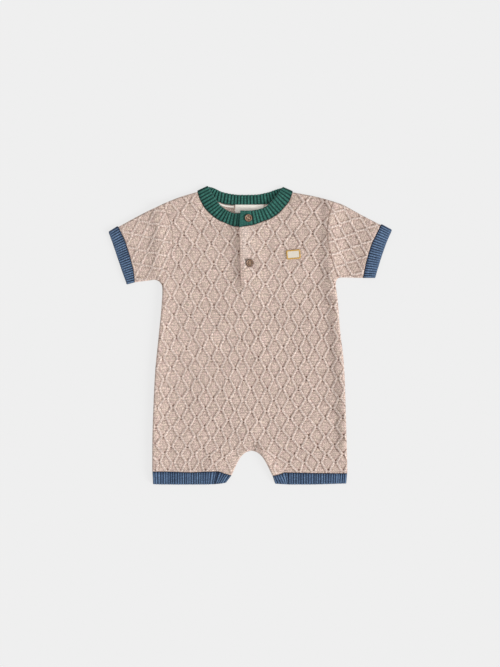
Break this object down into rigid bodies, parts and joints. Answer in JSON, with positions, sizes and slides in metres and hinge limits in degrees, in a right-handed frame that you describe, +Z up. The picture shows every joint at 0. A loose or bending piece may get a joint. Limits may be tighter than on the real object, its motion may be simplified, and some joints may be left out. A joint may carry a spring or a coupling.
{
  "type": "baby romper",
  "caption": "Short-sleeved baby romper in raised lattice knit, laid flat, with ribbed neckband, cuffs and leg bands and a half placket closed by buttons.",
  "frame": {"origin": "middle of the garment's outline, on the surface that its back lies on", "axes": "+Z up, out of the front of the garment; +Y from the legs to the neck; +X towards the wearer's left"},
  "size_m": [0.3954, 0.4193, 0.0106],
  "materials": {
    "taupe_knit": "matte cotton knit with a raised lattice",
    "blue_rib": "matte cotton rib",
    "green_rib": "matte cotton rib",
    "cream_tape": "matte cotton tape",
    "cream_label": "smooth woven label",
    "patch_weave": "smooth woven patch",
    "horn_button": "satin"
  },
  "bodies": {
    "root": {"front_panel": "taupe_knit", "placket_underlap": "taupe_knit", "back_panel": "taupe_knit", "crotch_gusset": "taupe_knit", "sleeve_right": "taupe_knit", "sleeve_left": "taupe_knit", "cuff_right": "blue_rib", "cuff_left": "blue_rib", "leg_band_right": "blue_rib", "leg_band_left": "blue_rib", "neckband": "green_rib", "neck_tape_right": "cream_tape", "neck_tape_left": "cream_tape", "neck_label": "cream_label", "chest_patch": "patch_weave", "button_top": "horn_button", "button_lower": "horn_button"}
  },
  "joints": []
}
